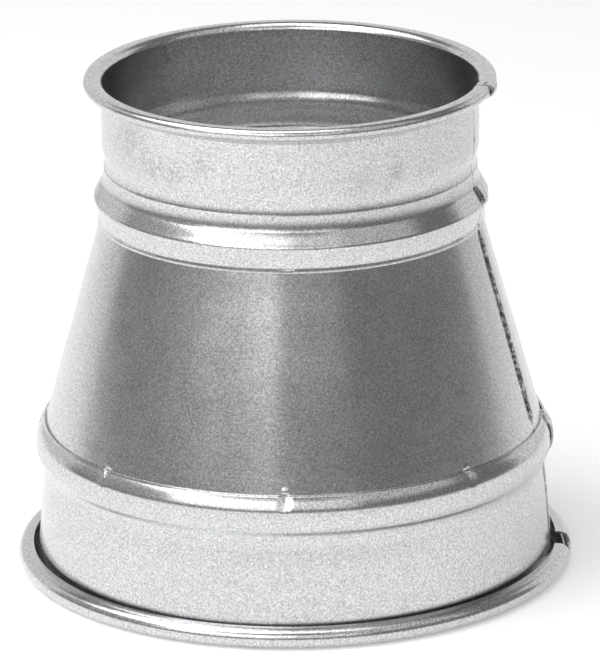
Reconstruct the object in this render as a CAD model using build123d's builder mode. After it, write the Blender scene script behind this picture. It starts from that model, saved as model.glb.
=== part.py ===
"""Concentric duct reducer in galvanised sheet: two rolled collars locked over the ends of a cone.

Millimetres, +Z along the duct axis towards the small end. The origin is the centre of the large
end's lip, in the plane that it stands on. The welded seams of the sheets lie towards +X.
"""

import os
from math import cos, radians, sin, sqrt

from build123d import *

ORIGIN = Vector(0, 0, 0)
UP = Vector(0, 0, 1)

# Sheet, and the room left between a collar and the cone under it
sheet = 0.8
fit_gap = 0.05

# Whole fitting
overall_height = 176.5
small_diameter = 131.0
large_diameter = 178.0

# Small collar: wall, rolled lip, neck, and a locking bead that ends in a skirt on the cone
small_wall_height = 25.0
small_neck_height = 7.2
small_neck_depth = 1.4
small_flank_height = 4.7
small_shoulder_rise = 6.7
small_bead_rise = 3.4
small_bead_radius = 12.0
small_skirt_height = 7.9
small_skirt_step = 1.15
flare_radius = 4.2
roll_reach = 6.0
roll_tip_radius = 1.3
roll_return_angle = 38.0
roll_edge_gap = 0.5

# Large collar: open curled lip, flared foot, wall, neck, and a locking bead that ends in a skirt on the cone
large_wall_height = 25.0
large_neck_height = 13.6
large_neck_depth = 1.6
large_bead_rise = 1.8
large_bead_upper_radius = 15.5
large_bead_lower_radius = 4.5
large_skirt_height = 9.7
large_skirt_step = 2.14
foot_flare_height = 18.0
foot_flare_angle = 15.0
curl_bend_radius = 2.2
curl_reach = 8.6
curl_radius = 3.6
curl_mouth = 3.2

# How far the cone's small end runs past the crest of the bead that holds it; the large end stops at its crest
cone_hook = 5.8

# Lapped seams: place round the axis from +X, the arc over which the outer end lifts off, and how deep
# its weld sinks it into the sheet under it
small_seam_angle = -15.0
cone_seam_angle = -15.0
large_seam_angle = -4.0
lap_arc = 12.0
lap_feather = 2.0
weld_bite = 0.1
cone_lap_margin = 3.0

# Marks of the seams in the rolled shapes: a window in the small bead, a notch in the large curl
slot_width = 4.2
slot_height = 5.4
slot_corner = 0.8
slot_rise = 4.2
notch_width = 12.0
notch_floor = 3.2

# Staked dimples that lock the beads to the cone
dimple_width = 5.0
dimple_height = 4.6
dimple_depth = 0.5
dimple_taper = 40.0
small_dimple_count = 6
small_dimple_drop = 4.5
large_dimple_count = 8
large_dimple_rise = 9.0
small_dimple_start = -90.0
large_dimple_start = -92.0

# Radii and levels that follow from the sizes above
small_radius = small_diameter / 2
small_bore_radius = small_radius - sheet
small_neck_level = overall_height - small_wall_height
small_neck_radius = small_radius - small_neck_depth
small_crest_radius = small_radius + small_bead_rise
large_radius = large_diameter / 2
large_bore_radius = large_radius - sheet
large_neck_radius = large_radius - large_neck_depth
large_crest_radius = large_radius + large_bead_rise
large_crease_level = large_wall_height + large_neck_height

# Bead arcs, centred level with their crests
small_bead_axis = small_crest_radius - small_bead_radius
small_crease_level = small_neck_level - small_neck_height
small_crest_level = small_crease_level - small_flank_height - small_shoulder_rise
large_upper_axis = large_crest_radius - large_bead_upper_radius
large_lower_axis = large_crest_radius - large_bead_lower_radius
large_crease_drop = sqrt(large_bead_lower_radius**2 - (large_neck_radius - large_lower_axis) ** 2)
large_crest_level = large_crease_level + large_crease_drop

# Where the flared foot of the large wall turns into its curl
foot_level = curl_bend_radius * (1 - sin(radians(foot_flare_angle)))
foot_flare_radius = (foot_flare_height - foot_level) / sin(radians(foot_flare_angle))
foot_radius = large_bore_radius + foot_flare_radius * (1 - cos(radians(foot_flare_angle)))

# The cone's outer face runs straight between the cut edges of the two skirts
small_edge_level = small_crest_level - small_skirt_height
large_edge_level = large_crest_level + large_skirt_height
cone_top = Vector(small_radius + small_skirt_step, small_edge_level)
cone_foot = Vector(large_radius - large_skirt_step, large_edge_level)
cone_along = (cone_top - cone_foot).normalized()
cone_outward = Vector(cone_along.Y, -cone_along.X)


def bead_foot(axis_radius, level, arc_radius, shift, end):
    """Where a bead's arc meets the cone's face, both moved outward by shift; end is +1 up, -1 down."""
    centre = Vector(axis_radius, level)
    reach = (cone_top - centre).dot(cone_outward) + shift
    half_chord = sqrt(arc_radius**2 - reach**2)
    return centre + cone_outward * reach + cone_along * (end * half_chord)


def bead_point(axis_radius, level, arc_radius, rise):
    """The point of a bead's arc that lies rise above the level of its crest."""
    return Vector(axis_radius + sqrt(arc_radius**2 - rise**2), level + rise)


def round_axis(angle, radius, level):
    """A point at an angle round the duct axis."""
    return Vector(radius * cos(radians(angle)), radius * sin(radians(angle)), level)


def section_plane(angle, centre):
    """The upright plane through a centre on or beside the duct axis, at an angle from +X."""
    return Plane(centre, x_dir=round_axis(angle, 1, 0), z_dir=round_axis(angle - 90, 1, 0))


def lap_centre(angle):
    """Centre for the lapped end of a sheet, which stands about one sheet proud at the seam."""
    return round_axis(angle + lap_arc - 90, (sheet - weld_bite) / sin(radians(lap_arc)), 0)


def small_collar_line():
    """Inner face of the small collar, from its cut edge on the cone to the edge of the rolled lip."""
    bead_arc = small_bead_radius - sheet
    skirt_edge = cone_top + cone_outward * fit_gap
    skirt_end = bead_foot(small_bead_axis, small_crest_level, bead_arc, fit_gap, -1)
    crest = bead_point(small_bead_axis, small_crest_level, bead_arc, 0)
    shoulder = bead_point(small_bead_axis, small_crest_level, bead_arc, small_shoulder_rise)
    crease = Vector(small_neck_radius - sheet, small_crease_level)
    wall_foot = Vector(small_bore_radius, small_neck_level)
    flare_foot = Vector(small_bore_radius, overall_height - flare_radius)
    tip = small_radius + roll_reach - roll_tip_radius
    Line(skirt_edge, skirt_end)
    ThreePointArc(skirt_end, crest, shoulder)
    Line(shoulder, crease)
    Line(crease, wall_foot)
    Line(wall_foot, flare_foot)
    flare = JernArc(flare_foot, (0, 1), flare_radius, -90)
    top = Line(flare @ 1, (tip, overall_height))
    fold = JernArc(top @ 1, (1, 0), roll_tip_radius, roll_return_angle - 180)
    back = fold % 1
    room = sheet * sin(radians(roll_return_angle)) + roll_edge_gap
    Line(fold @ 1, fold @ 1 + back * (((fold @ 1).X - small_radius - room) / -back.X))


def large_wall_line():
    """Inner face of the large collar, from its cut edge on the cone down its wall."""
    upper_arc = large_bead_upper_radius - sheet
    lower_arc = large_bead_lower_radius - sheet
    skirt_edge = cone_foot + cone_outward * fit_gap
    skirt_end = bead_foot(large_upper_axis, large_crest_level, upper_arc, fit_gap, 1)
    crest = bead_point(large_upper_axis, large_crest_level, upper_arc, 0)
    neck = large_neck_radius - sheet
    crease = Vector(neck, large_crest_level - sqrt(lower_arc**2 - (neck - large_lower_axis) ** 2))
    wall_top = Vector(large_bore_radius, large_wall_height)
    wall_foot = Vector(large_bore_radius, foot_flare_height)
    Line(skirt_edge, skirt_end)
    RadiusArc(skirt_end, crest, upper_arc)
    RadiusArc(crest, crease, lower_arc)
    Line(crease, wall_top)
    Line(wall_top, wall_foot)


def large_foot_line():
    """Inner face of the large collar, from the foot of its wall to the edge of the curled lip."""
    wall_foot = Vector(large_bore_radius, foot_flare_height)
    flare = JernArc(wall_foot, (0, -1), foot_flare_radius, foot_flare_angle)
    bend = JernArc(flare @ 1, flare % 1, curl_bend_radius, 90 - foot_flare_angle)
    rest = Line(bend @ 1, (large_radius + curl_reach - curl_radius, 0))
    curl = JernArc(rest @ 1, (1, 0), curl_radius, 180)
    Line(curl @ 1, (large_radius + curl_mouth, (curl @ 1).Y))


def cone_line():
    """Outer face of the cone, from its edge in the small bead to its edge in the large bead."""
    inset = sheet + fit_gap
    small_arc = small_bead_radius - inset
    upper_arc = large_bead_upper_radius - inset
    top_edge = bead_point(small_bead_axis, small_crest_level, small_arc, cone_hook)
    small_crest = bead_point(small_bead_axis, small_crest_level, small_arc, 0)
    small_foot = bead_foot(small_bead_axis, small_crest_level, small_arc, 0, -1)
    large_foot = bead_foot(large_upper_axis, large_crest_level, upper_arc, 0, 1)
    large_crest = bead_point(large_upper_axis, large_crest_level, upper_arc, 0)
    ThreePointArc(top_edge, small_crest, small_foot)
    Line(small_foot, large_foot)
    RadiusArc(large_foot, large_crest, upper_arc)


def dimple_planes(count, start, axis_radius, level, arc_radius, rise):
    """Planes that touch a bead's outer face, spaced evenly round the axis."""
    place = bead_point(axis_radius, level, arc_radius, rise)
    for index in range(count):
        angle = start + index * 360 / count
        facing = round_axis(angle, place.X - axis_radius, rise)
        yield Plane(round_axis(angle, place.X, place.Y), x_dir=round_axis(angle + 90, 1, 0), z_dir=facing)


# Small collar
small_lap = lap_centre(small_seam_angle)
with BuildPart() as small_collar:
    for centre, arc in ((ORIGIN, 360), (small_lap, lap_arc - lap_feather)):
        with BuildSketch(section_plane(small_seam_angle, centre)):
            with BuildLine():
                small_collar_line()
                offset(amount=sheet, side=Side.RIGHT, kind=Kind.INTERSECTION)
            make_face()
        revolve(axis=Axis(centre, UP), revolution_arc=arc)
    slot_place = round_axis(small_seam_angle, small_neck_radius, small_crest_level + slot_rise)
    with BuildSketch(Plane(slot_place, x_dir=UP, z_dir=round_axis(small_seam_angle, 1, 0))):
        RectangleRounded(slot_height, slot_width, slot_corner)
    extrude(amount=small_crest_radius - small_neck_radius + 2 * sheet, mode=Mode.SUBTRACT)
    stakes = dimple_planes(
        small_dimple_count, small_dimple_start, small_bead_axis, small_crest_level, small_bead_radius,
        -small_dimple_drop)
    with BuildSketch(*stakes):
        Polygon((-dimple_width / 2, 0), (dimple_width / 2, 0), (0, dimple_height), align=None)
    extrude(amount=-dimple_depth, taper=dimple_taper, mode=Mode.SUBTRACT)
small_collar.part.label = "small_collar"

# Cone
cone_lap = lap_centre(cone_seam_angle)
with BuildPart() as cone:
    with BuildSketch(section_plane(cone_seam_angle, ORIGIN)):
        with BuildLine():
            cone_line()
            offset(amount=sheet, side=Side.RIGHT, kind=Kind.INTERSECTION)
        make_face()
    revolve(axis=Axis.Z)
    with BuildSketch(section_plane(cone_seam_angle, cone_lap)):
        with BuildLine():
            Line(cone_top - cone_along * cone_lap_margin, cone_foot + cone_along * cone_lap_margin)
            offset(amount=sheet, side=Side.RIGHT, kind=Kind.INTERSECTION)
        make_face()
    revolve(axis=Axis(cone_lap, UP), revolution_arc=lap_arc - lap_feather)
cone.part.label = "cone"

# Large collar
large_lap = lap_centre(large_seam_angle)
with BuildPart() as large_collar:
    for centre, arc in ((ORIGIN, 360), (large_lap, lap_arc - lap_feather)):
        with BuildSketch(section_plane(large_seam_angle, centre)):
            for draw_line in (large_wall_line, large_foot_line):
                with BuildLine():
                    draw_line()
                    offset(amount=sheet, side=Side.LEFT, kind=Kind.TANGENT)
                make_face()
        revolve(axis=Axis(centre, UP), revolution_arc=arc)
    notch_start = foot_radius + 2 * sheet
    notch_place = round_axis(large_seam_angle, notch_start, notch_floor)
    with BuildSketch(Plane(notch_place, x_dir=round_axis(large_seam_angle, 1, 0), z_dir=UP)):
        Rectangle(curl_reach + sheet, notch_width, align=(Align.MIN, Align.CENTER))
    extrude(amount=2 * curl_radius, mode=Mode.SUBTRACT)
    stakes = dimple_planes(
        large_dimple_count, large_dimple_start, large_upper_axis, large_crest_level, large_bead_upper_radius,
        large_dimple_rise)
    with BuildSketch(*stakes):
        Polygon((-dimple_width / 2, 0), (0, -dimple_height), (dimple_width / 2, 0), align=None)
    extrude(amount=-dimple_depth, taper=dimple_taper, mode=Mode.SUBTRACT)
large_collar.part.label = "large_collar"

os.makedirs("parts", exist_ok=True)
for piece in (small_collar, cone, large_collar):
    export_step(piece.part, f"parts/{piece.part.label}.step")
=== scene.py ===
"""Looks of a concentric duct reducer in galvanised sheet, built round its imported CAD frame.

Metres, in the CAD frame: +Z along the duct axis, the camera on the -Y side. Profiles are drawn in
millimetres, as radius from the duct axis and level above the plane that the large lip stands on.
Angles round the axis are in degrees from +X.
"""

from itertools import groupby
from math import atan2, cos, degrees, exp, hypot, pi, radians, sin

import bmesh
import bpy
from mathutils import Matrix, Vector, noise


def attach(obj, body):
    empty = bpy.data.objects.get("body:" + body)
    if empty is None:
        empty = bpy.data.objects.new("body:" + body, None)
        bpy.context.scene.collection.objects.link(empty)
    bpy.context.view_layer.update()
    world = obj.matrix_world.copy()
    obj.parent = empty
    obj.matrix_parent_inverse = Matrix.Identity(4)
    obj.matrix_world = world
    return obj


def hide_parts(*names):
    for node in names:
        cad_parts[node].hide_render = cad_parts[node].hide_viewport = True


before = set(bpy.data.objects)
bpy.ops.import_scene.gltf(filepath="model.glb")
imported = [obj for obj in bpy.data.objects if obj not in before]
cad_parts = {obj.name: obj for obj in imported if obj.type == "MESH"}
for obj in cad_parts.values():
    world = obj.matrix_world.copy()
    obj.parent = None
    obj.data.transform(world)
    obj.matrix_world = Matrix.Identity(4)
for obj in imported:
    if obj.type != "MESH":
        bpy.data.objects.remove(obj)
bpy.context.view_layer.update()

# Cone
# Galvanised steel sheet rolled to a cone, its edges lapped and seam welded on the right.
# Both ends curve out into the beads of the collars, which are rolled and staked down over it.
MM = 0.001
sheet = 0.8
bead_gap = 0.06
cone_seam = -15.0
lap_arc = 12.0
overlap = 4.0
fold_slope = 0.85
stake_angles = [-92 + 45 * turn for turn in range(8)]
stake_level = 52.6
stake_reach = 6.0
crater_depth = 0.3
punch_depth = 0.32
burr_height = 0.2
coarse_column = 2.0
stake_columns = [(angle, 2.5, 0.18) for angle in stake_angles]
seam_columns = [(cone_seam + 5, 9.0, 0.5)]
small_bead = [
    (66.27, 126.9), (66.7, 129.6), (67.1, 131.8), (67.6, 132.8), (67.84, 133.5), (67.76, 134.1),
    (67.38, 134.7), (65.95, 137.3), (65.22, 138.5)]
large_bead = [
    (87.13, 51.9), (87.72, 51.1), (88.27, 50.25), (88.7, 49.4), (89.04, 48.6), (89.28, 47.9),
    (89.44, 47.3), (89.57, 45.8), (89.67, 44.0)]


def run(profile, tip, radius, level, step):
    """Draws a profile on from its tip in a straight line, in even steps of about the given length."""
    way = Vector((radius * MM, 0, level * MM)) - tip.co
    steps = max(1, round(way.length / MM / step))
    swept = bmesh.ops.spin(profile, geom=[tip], axis=(0, 1, 0), dvec=way / steps, steps=steps)
    return swept["geom_last"][0]


def bend(profile, tip, radius, level, turn, steps):
    """Draws a profile on from its tip along an arc about a centre; a positive turn is to the left."""
    centre = (radius * MM, 0, level * MM)
    swept = bmesh.ops.spin(
        profile, geom=[tip], cent=centre, axis=(0, 1, 0), angle=-radians(turn), steps=steps)
    return swept["geom_last"][0]


def draw(profile, points, step):
    """Starts a profile at the first of some points and draws it straight from each to the next."""
    tip = profile.verts.new((points[0][0] * MM, 0, points[0][1] * MM))
    for radius, level in points[1:]:
        tip = run(profile, tip, radius, level, step)
    return tip


def turn_from(angle, place):
    """How far an angle lies from a place round the axis, from -180 to 180 degrees."""
    return (angle - place + 180) % 360 - 180


def polar(point):
    """Angle round the duct axis, radius and level of a point, in degrees and millimetres."""
    x, y, z = point
    return degrees(atan2(y, x)), hypot(x, y) / MM, z / MM


def smooth(value):
    """Eases a value between 0 and 1."""
    held = min(1, max(0, value))
    return held * held * (3 - 2 * held)


def fade(distance, width):
    """Falls off smoothly from 1 with distance, over about a width to each side."""
    return exp(-((distance / width) ** 2))


def roll(profile, seam, fine, rise):
    """Rolls a profile round the duct axis from a seam, its far end tucked under its near end.

    Fine gives the places where columns are narrower, with the reach to each side and the width.
    Rise gives how far the sheet stands out at a turn past the seam and a level.
    """
    start = Matrix.Rotation(radians(seam), 3, "Z")
    bmesh.ops.rotate(profile, verts=profile.verts[:], cent=(0, 0, 0), matrix=start)
    strip = profile.verts[:] + profile.edges[:]
    end = 360 + overlap
    columns = []
    past = 0
    while past < end - 0.01:
        near = [column for place, reach, column in fine if abs(turn_from(seam + past, place)) <= reach]
        columns.append(min(near + [coarse_column, end - past]))
        past += columns[-1]
    spans = [(0, profile.verts[:])]
    past = 0
    for column, group in groupby(columns):
        steps = len(list(group))
        arc = column * steps
        known = len(profile.verts)
        swept = bmesh.ops.spin(
            profile, geom=strip, cent=(0, 0, 0), axis=(0, 0, 1), angle=radians(arc), steps=steps)
        strip = swept["geom_last"]
        spans.append((past + arc / 2, profile.verts[:][known:]))
        past += arc
    for middle, verts in spans:
        for vert in verts:
            angle, radius, level = polar(vert.co)
            out = Vector((vert.co.x, vert.co.y, 0)).normalized()
            vert.co += out * rise(middle + turn_from(angle, seam + middle), level) * MM
    bmesh.ops.recalc_face_normals(profile, faces=profile.faces[:])
    flat = Vector((1, 1, 0))
    facing = sum(face.normal.dot(face.calc_center_median() * flat) for face in profile.faces)
    if facing < 0:
        bmesh.ops.reverse_faces(profile, faces=profile.faces[:])


def round_off(profile, edges, width, segments):
    """Rounds some edges of a sheet over a width to each side."""
    bmesh.ops.bevel(
        profile, geom=edges, offset=width * MM, offset_type="OFFSET", segments=segments, profile=0.5,
        affect="EDGES", material=-1)


def ease(profile, low, high, width):
    """Rounds the bends of a rolled sheet between two levels, as a forming roller leaves them."""
    least_bend = radians(4)
    bends = []
    for edge in profile.edges:
        level = edge.verts[0].co.z / MM
        ring = abs(level - edge.verts[1].co.z / MM) < 0.001
        inner = low < level < high and len(edge.link_faces) == 2
        if ring and inner and edge.calc_face_angle() > least_bend:
            bends.append(edge)
    round_off(profile, bends, width, segments=3)


def press(profile, places, level, reach, depth):
    """Presses the sheet in at places round the axis; depth takes the way round and below the level."""
    profile.normal_update()
    for vert in profile.verts:
        angle, radius, height = polar(vert.co)
        below = level - height
        if abs(below) > reach:
            continue
        for place in places:
            across = radians(turn_from(angle, place)) * radius
            if abs(across) < reach:
                vert.co -= vert.normal * depth(across, below) * MM


def ripple(profile, depth, size, low, high):
    """Leaves the sheet between two levels a little uneven, always inward of its true shape."""
    margin = 4
    profile.normal_update()
    for vert in profile.verts:
        level = vert.co.z / MM
        held = smooth((level - low) / margin) * smooth((high - level) / margin)
        swell = 0.5 + 0.5 * noise.noise(vert.co / (size * MM))
        vert.co -= vert.normal * depth * swell * held * MM


def cut(profile, inside):
    """Cuts a hole through the sheet where a test on angle, radius and level holds."""
    gone = [face for face in profile.faces if inside(*polar(face.calc_center_median()))]
    bmesh.ops.delete(profile, geom=gone, context="FACES")


def finish_sheet(profile, thickness, name, stain_and_shade):
    """Gives a rolled sheet its thickness and burnished cut edges, and notes where it is stained or
    carries painted shade.
    """
    cut_corner = 1.1
    burnish = 0.09
    crisp_bend = radians(40)
    bmesh.ops.solidify(profile, geom=profile.faces[:], thickness=thickness * MM)
    joined = [edge for edge in profile.edges if len(edge.link_faces) == 2]
    rims = [edge for edge in joined if edge.calc_face_angle() > cut_corner]
    round_off(profile, rims, burnish, segments=2)
    mesh = bpy.data.meshes.new(name)
    profile.to_mesh(mesh)
    profile.free()
    mesh.polygons.foreach_set("use_smooth", [True] * len(mesh.polygons))
    mesh.set_sharp_from_angle(angle=crisp_bend)
    marks = mesh.attributes.new("stain_and_shade", "FLOAT", "POINT")
    marks.data.foreach_set("value", [stain_and_shade(*polar(vert.co)) for vert in mesh.vertices])
    piece = bpy.data.objects.new(name, mesh)
    bpy.context.scene.collection.objects.link(piece)
    return piece


def over_lap(past):
    """How much of its lift the near end of a sheet keeps as it leaves the lap, from 1 to 0."""
    return smooth((lap_arc - past) / (lap_arc - overlap))


def under_lap(past):
    """How much the far end of a sheet is tucked in as it comes round to the lap, from 0 to 1."""
    return smooth((past - 358) / 1.5)


def dish(across, below, size):
    """Depth of a round dish, 1 in its middle and 0 from its rim on."""
    return max(0, 1 - (across**2 + below**2) / size**2)


def stake(across, below):
    """Depth of a stake: a crater under the collar's edge, a pointed punch mark in it, a burr above it."""
    crater = crater_depth * dish(across, below - 2.4, 2.9) * smooth((below + 0.8) / 0.6)
    burr = burr_height * dish(across, below + 1.3, 1.2)
    inside = min(below + 0.3, (3.0 - below) * 0.53 - abs(across))
    return crater + punch_depth * smooth(inside / 0.3) - burr


def cone_rise(past, level):
    """The cone's near end lies over its far end between the collars and folds down to it near them."""
    free = smooth((level - 55 - fold_slope * past) / 2.5) * smooth((124 - level) / 4)
    if past < lap_arc:
        return 0.65 * free * over_lap(past)
    return -0.15 * under_lap(past)


def cone_stain_and_shade(angle, radius, level):
    """The weld leaves a dark scaly line along the lap and a short track beside it; the dark line on the
    fold is painted shade where the lifted sheet folds down to the cone.
    """
    past = turn_from(angle, cone_seam)
    line = fade(past - 0.3, 0.7) * smooth((level - 54) / 3)
    track = 0.5 * fade(past + 4.2, 0.5) * smooth((level - 100) / 10)
    # painted shade: a dark line along the fold, where the lifted near end turns down to the cone
    fold_shade = 0.7 * fade(level - 56.5 - fold_slope * past, 0.7) * smooth(past) * smooth((8 - past) / 2)
    return max(line, track, fold_shade)


cone_profile = bmesh.new()
cone_top = [(radius - bead_gap, level) for radius, level in reversed(small_bead)]
tip = draw(cone_profile, [*cone_top, (68.9, 117.0), (83.3, 65.5)], step=2.5)
for radius, level in large_bead:
    tip = run(cone_profile, tip, radius - bead_gap, level, step=0.45)
roll(cone_profile, cone_seam, stake_columns + seam_columns, cone_rise)
ease(cone_profile, low=126, high=140, width=0.3)
press(cone_profile, stake_angles, stake_level, stake_reach, stake)
ripple(cone_profile, depth=0.04, size=40, low=56, high=124)
cone_piece = finish_sheet(cone_profile, sheet, "cone_sheet", cone_stain_and_shade)


def linear(code):
    """Linear colour of an sRGB hex value."""
    channels = [int(code[place:place + 2], 16) / 255 for place in (1, 3, 5)]
    return (*[c / 12.92 if c <= 0.04045 else ((c + 0.055) / 1.055) ** 2.4 for c in channels], 1)


def add(tree, kind, inputs, **settings):
    """Adds a shader node, sets its fields, and sets or links its inputs."""
    node = tree.nodes.new("ShaderNode" + kind)
    for name, value in settings.items():
        setattr(node, name, value)
    for name, value in inputs.items():
        if isinstance(value, bpy.types.NodeSocket):
            tree.links.new(value, node.inputs[name])
        else:
            node.inputs[name].default_value = value
    return node


# Galvanised sheet is a zinc skin with a fine sandy grain, half matt, so it mirrors the room as soft
# bands; where a weld has burnt the zinc it turns dark, scaly and dull. The same dark colour is also
# painted as shade along the cone's fold and as the shadow of the small collar's lap step on its lip
grain_size = 0.65
cloud_size = 14
flake_size = 1.6
grain_height = 0.05
zinc_low = linear("#9C9D9E")
zinc_high = linear("#EEEFF0")
burnt_zinc_and_shade = linear("#4A4A4B")
galvanised = bpy.data.materials.new("galvanised_sheet")
galvanised.use_nodes = True
tree = galvanised.node_tree
tree.nodes.clear()
place = add(tree, "TexCoord", {}).outputs["Object"]
grain = add(tree, "TexNoise", {
    "Vector": place, "Scale": 1 / (grain_size * MM), "Detail": 3.0, "Roughness": 0.7})
sand = add(tree, "MapRange", {"Value": grain.outputs["Fac"], "From Min": 0.3, "From Max": 0.7})
cloud = add(tree, "TexNoise", {
    "Vector": place, "Scale": 1 / (cloud_size * MM), "Detail": 2.0, "Roughness": 0.5})
tone = add(tree, "Mix", {
    "Factor": sand.outputs["Result"], "A": zinc_low, "B": zinc_high}, data_type="RGBA")
marked_stain_and_shade = add(tree, "Attribute", {}, attribute_name="stain_and_shade")
flake = add(tree, "TexNoise", {
    "Vector": place, "Scale": 1 / (flake_size * MM), "Detail": 2.0, "Roughness": 0.6})
patch = add(tree, "MapRange", {"Value": flake.outputs["Fac"], "From Min": 0.35, "From Max": 0.55})
# the stain mask darkens weld burns and smudges, and also paints shade on the cone's fold and the shadow
# of the lap step on the small lip
burnt_and_shaded = add(tree, "Math", {
    0: marked_stain_and_shade.outputs["Fac"], 1: patch.outputs["Result"]}, operation="MULTIPLY")
colour = add(tree, "Mix", {
    "Factor": burnt_and_shaded.outputs["Value"], "A": tone.outputs["Result"], "B": burnt_zinc_and_shade}, data_type="RGBA")
rough = add(tree, "MapRange", {
    "Value": cloud.outputs["Fac"], "From Min": 0.3, "From Max": 0.7, "To Min": 0.2, "To Max": 0.235})
dull = add(tree, "Mix", {
    "Factor": burnt_and_shaded.outputs["Value"], "A": rough.outputs["Result"], "B": 0.6}, data_type="FLOAT")
bump = add(tree, "Bump", {
    "Height": grain.outputs["Fac"], "Strength": 0.2, "Distance": grain_height * MM})
shader = add(tree, "BsdfPrincipled", {
    "Base Color": colour.outputs["Result"], "Metallic": 1.0, "Roughness": dull.outputs["Result"],
    "Normal": bump.outputs["Normal"]})
add(tree, "OutputMaterial", {"Surface": shader.outputs["BSDF"]})

cone_piece.data.materials.append(galvanised)
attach(cone_piece, "root")
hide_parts("cone")

# Small collar
# A strip of the same sheet, rolled and welded, its top edge turned out and rolled back under itself.
# A neck and a bead with flattened faces are rolled into it, and its lower edge is staked on the cone.
small_seam = cone_seam
small_wall = 64.7
lip_top = 176.49
lip_flare = 2.8
lip_edge = 69.5
lip_roll = 2.0
window_arc = 1.8
window_foot = 134.4
window_top = 139.8
small_stakes = [-91 + 60 * turn for turn in range(6)]
small_stake_level = 129.5
small_stake_reach = 5.0
small_stake_depth = 0.16
small_columns = [(angle, 2.8, 0.4) for angle in small_stakes] + seam_columns
smudge_strength = 0.42
smudges = [
    (-147, 163, 9, 0.5), (-136, 157, 5, 0.5), (-128, 156, 4, 0.6), (-118, 161, 5, 0.5),
    (-57, 157, 2.5, 0.7), (-60, 152, 2.5, 0.6), (-69, 153, 6, 0.4)]


def small_rise(past, level):
    """The near end of the strip lies over the far end and stands off it most on the bead."""
    if past < lap_arc:
        bead = fade(level - 136, 3)
        lip = smooth((level - 168) / 4)
        skirt = smooth((130 - level) / 4)
        return (0.06 + bead + 0.9 * lip + 0.4 * skirt) * over_lap(past)
    return -0.1 * under_lap(past)


def in_window(angle, radius, level):
    """The ends of the strip leave a small window open where they meet on the bead."""
    return abs(turn_from(angle, small_seam)) < window_arc and window_foot < level < window_top


def small_stake(across, below):
    """Depth of the faint stake on the bead's skirt, a shallow arrowhead."""
    inside = min(below + 3.2, 3.4 - below, (below + 3.4) * 0.4 - abs(across))
    return small_stake_depth * smooth(inside / 0.5)


def small_stain_and_shade(angle, radius, level):
    """Handling has left soft dull smudges on the wall, and the weld dark marks on the wall; the dark mark
    over the lip at the seam is a painted shadow of the lap step.
    """
    # the part at level 157 is the weld marks on the wall; the part from level 169 up is a painted shadow
    # of the lap step on the lip
    weld_and_lap_shadow = fade(turn_from(angle, small_seam + 0.3), 0.6)
    weld_and_lap_shadow *= 0.7 * fade(level - 157, 3) + 0.8 * smooth((level - 169) / 2)
    soft = 0
    for mark_angle, mark_level, size, strength in smudges:
        across = radians(turn_from(angle, mark_angle)) * radius
        soft += strength * fade(hypot(across, level - mark_level), size)
    return max(weld_and_lap_shadow, smudge_strength * soft)


small_profile = bmesh.new()
small_skirt = (66.7, 125.01)
small_fillet = [
    (65.02, 138.8), (64.79, 139.4), (64.57, 140.2), (64.39, 141.2), (64.24, 142.4), (64.17, 143.4),
    (64.13, 144.3)]
small_crease = [(63.94, 144.5), (63.98, 144.75)]
small_neck = [
    (63.76, 146.2), (63.68, 147.6), (63.8, 148.7), (64.09, 149.8), (64.43, 150.9), (64.64, 151.9),
    (small_wall, 153.0)]
tip = draw(
    small_profile, [small_skirt, *small_bead, *small_fillet, *small_crease, *small_neck], step=0.9)
tip = run(small_profile, tip, small_wall, lip_top - lip_flare, step=1.8)
tip = bend(small_profile, tip, small_wall + lip_flare, lip_top - lip_flare, turn=-90, steps=12)
tip = run(small_profile, tip, lip_edge, lip_top, step=0.7)
tip = bend(small_profile, tip, lip_edge, lip_top - lip_roll, turn=-150, steps=18)
run(small_profile, tip, 66.5, 170.45, step=1.5)
roll(small_profile, small_seam, small_columns, small_rise)
ease(small_profile, low=125.5, high=139.5, width=0.28)
cut(small_profile, in_window)
press(small_profile, small_stakes, small_stake_level, small_stake_reach, small_stake)
ripple(small_profile, depth=0.06, size=30, low=145, high=168)
small_piece = finish_sheet(small_profile, -sheet, "small_collar_sheet", small_stain_and_shade)
small_piece.data.materials.append(galvanised)
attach(small_piece, "root")
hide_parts("small_collar")

# Large collar
# The same kind of strip for the wide end. Its foot is turned out and curled up into an open bead that
# the fitting stands on; where its ends meet, the curl is snipped away.
large_seam = -4.0
curl_edge = 93.98
curl_radius = 3.6
snip_arc = 3.7
snip_radius = 90.5
snip_foot = 3.2
snip_top = 9.0
weld_line = 0.45
large_columns = stake_columns + [(large_seam + 3, 10.0, 0.4)]


def large_rise(past, level):
    """The near end of the strip lies over the far end, and the curls of both ends meet flush."""
    if past < lap_arc:
        return (0.4 * smooth((level - 8) / 3) + 0.6 * fade(level - 46, 5)) * over_lap(past)
    return -0.2 * under_lap(past)


def in_snip(angle, radius, level):
    """The upper half of the curl is snipped away over the seam."""
    beside = abs(turn_from(angle, large_seam)) < snip_arc
    return beside and radius > snip_radius and snip_foot < level < snip_top


def large_stain(angle, radius, level):
    """The weld leaves a faint dark line along the lap and round the snipped curl."""
    return weld_line * fade(turn_from(angle, large_seam) - 0.3, 0.6)


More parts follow.
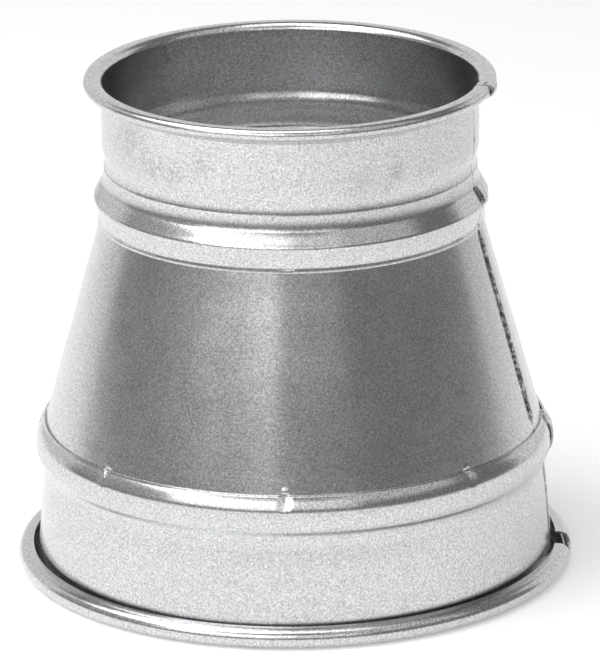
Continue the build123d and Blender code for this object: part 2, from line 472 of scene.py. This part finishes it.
large_profile = bmesh.new()
large_skirt = (86.92, 52.66)
large_fillet = [(89.42, 43.35), (89.58, 42.7), (89.28, 41.5), (88.72, 40.3), (88.02, 39.15)]
large_wall = [
    (87.46, 38.1), (87.12, 37.0), (86.98, 35.9), (86.98, 34.7), (87.1, 33.2), (87.42, 30.6),
    (87.82, 27.0), (88.3, 21.0), (88.82, 14.5), (89.4, 8.5), (90.2, 1.83)]
tip = draw(large_profile, [large_skirt, *large_bead, *large_fillet], step=0.45)
for radius, level in large_wall:
    tip = run(large_profile, tip, radius, level, step=1.6)
tip = bend(large_profile, tip, 92.37, 2.21, turn=80, steps=9)
tip = run(large_profile, tip, curl_edge, 0.0, step=0.8)
tip = bend(large_profile, tip, curl_edge, curl_radius, turn=180, steps=22)
run(large_profile, tip, 92.2, 2 * curl_radius, step=0.9)
roll(large_profile, large_seam, large_columns, large_rise)
press(large_profile, stake_angles, stake_level, stake_reach, stake)
ripple(large_profile, depth=0.06, size=35, low=9, high=36)
cut(large_profile, in_snip)
large_piece = finish_sheet(large_profile, -sheet, "large_collar_sheet", large_stain)
large_piece.data.materials.append(galvanised)
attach(large_piece, "root")
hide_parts("large_collar")

# Stage
# A plain white table with a tall white sweep behind it. One panel from the left and one from above
# give soft light, a soft box to the left of the camera draws the bright bands on the beads and down
# the cone, and weak fills and a panel on the right keep the two sides from going dark.
table_radius = 6.0
table_glow = 0.28
sweep_radius = 5.6
sweep_height = 3.9
sweep_start = radians(25)
sweep_turn = radians(130)
sweep_glow = 0.62
floor_mesh = bmesh.new()
bmesh.ops.create_circle(floor_mesh, cap_ends=True, segments=96, radius=table_radius)
sweep_foot = Vector((cos(sweep_start), sin(sweep_start), 0)) * sweep_radius
wall_foot = floor_mesh.verts.new(sweep_foot)
wall_top = floor_mesh.verts.new(sweep_foot + Vector((0, 0, sweep_height)))
wall_edge = floor_mesh.edges.new((wall_foot, wall_top))
bmesh.ops.spin(
    floor_mesh, geom=[wall_foot, wall_top, wall_edge], cent=(0, 0, 0), axis=(0, 0, 1),
    angle=sweep_turn, steps=40)
floor_mesh.normal_update()
for face in floor_mesh.faces:
    upright = abs(face.normal.z) < 0.5
    face.material_index = int(upright)
table = bpy.data.meshes.new("table")
floor_mesh.to_mesh(table)
floor_mesh.free()
floor = bpy.data.objects.new("table", table)
bpy.context.scene.collection.objects.link(floor)


def white_paper(name, strength):
    """Matt white paper that is lifted towards white where the camera or a mirroring surface sees it."""
    white = bpy.data.materials.new(name)
    white.use_nodes = True
    tree = white.node_tree
    tree.nodes.clear()
    path = add(tree, "LightPath", {})
    seen = add(tree, "Math", {
        0: path.outputs["Is Camera Ray"], 1: path.outputs["Is Glossy Ray"]}, operation="MAXIMUM")
    seen = add(tree, "Math", {
        0: seen.outputs["Value"], 1: path.outputs["Is Transmission Ray"]}, operation="MAXIMUM")
    lift = add(tree, "Math", {0: seen.outputs["Value"], 1: strength}, operation="MULTIPLY")
    paper = add(tree, "BsdfDiffuse", {"Color": linear("#F2F2F2")})
    glow = add(tree, "Emission", {"Color": linear("#FFFFFF"), "Strength": lift.outputs["Value"]})
    both = add(tree, "AddShader", {0: paper.outputs["BSDF"], 1: glow.outputs["Emission"]})
    add(tree, "OutputMaterial", {"Surface": both.outputs["Shader"]})
    return white


floor.data.materials.append(white_paper("white_table", table_glow))
floor.data.materials.append(white_paper("white_sweep", sweep_glow))

world = bpy.data.worlds.new("studio")
world.use_nodes = True
world.node_tree.nodes.clear()
dim = add(world.node_tree, "Background", {"Color": linear("#7C7C7C"), "Strength": 1.0})
add(world.node_tree, "OutputWorld", {"Surface": dim.outputs["Background"]})
bpy.context.scene.world = world


def soft_light(name, azimuth, elevation, distance, width, height, radiance):
    """A rectangular soft light that faces the fitting; azimuth runs from the camera to the right."""
    lamp = bpy.data.lights.new(name, "AREA")
    lamp.shape = "RECTANGLE"
    lamp.size = width
    lamp.size_y = height
    lamp.energy = radiance * pi * width * height
    holder = bpy.data.objects.new(name, lamp)
    middle = Vector((0, 0, 90 * MM))
    side = radians(azimuth)
    up = radians(elevation)
    out = Vector((sin(side) * cos(up), -cos(side) * cos(up), sin(up)))
    holder.location = middle + out * distance
    holder.rotation_euler = out.to_track_quat("Z", "Y").to_euler()
    bpy.context.scene.collection.objects.link(holder)


soft_light("side_panel", azimuth=-82, elevation=58, distance=1.6, width=1.3, height=1.3, radiance=2.65)
soft_light("top_panel", azimuth=-70, elevation=85, distance=1.6, width=1.1, height=1.1, radiance=1.9)
soft_light("soft_box", azimuth=-31, elevation=30, distance=2.2, width=1.9, height=1.2, radiance=2.0)
soft_light("right_fill", azimuth=12, elevation=30, distance=2.2, width=1.2, height=1.1, radiance=0.8)
soft_light("left_fill", azimuth=-85, elevation=25, distance=2.2, width=2.4, height=1.4, radiance=0.2)
soft_light("right_panel", azimuth=58, elevation=50, distance=1.8, width=1.4, height=1.7, radiance=0.42)

# The camera stands 2.27 m away, 18 degrees above the table, and is tilted a little to its right
pixel = 0.35 * MM
view_width = 600
camera_distance = 6477 * pixel
camera_elevation = radians(18.16)
aim_level = 85.75 * MM
aim_right = 7.6 * pixel
aim_down = 7.7 * pixel
camera_roll = radians(-0.6)
lens = bpy.data.cameras.new("view")
lens.sensor_fit = "HORIZONTAL"
lens.sensor_width = 36
lens.lens = lens.sensor_width * camera_distance / (view_width * pixel)
lens.clip_end = 20
camera = bpy.data.objects.new("view", lens)
turn = Matrix.Rotation(pi / 2 - camera_elevation, 4, "X") @ Matrix.Rotation(camera_roll, 4, "Z")
shift = turn.to_3x3() @ Vector((aim_right, -aim_down, camera_distance))
camera.matrix_world = Matrix.Translation(Vector((0, 0, aim_level)) + shift) @ turn
bpy.context.scene.collection.objects.link(camera)
bpy.context.scene.camera = camera
bpy.context.scene.view_settings.view_transform = "Standard"
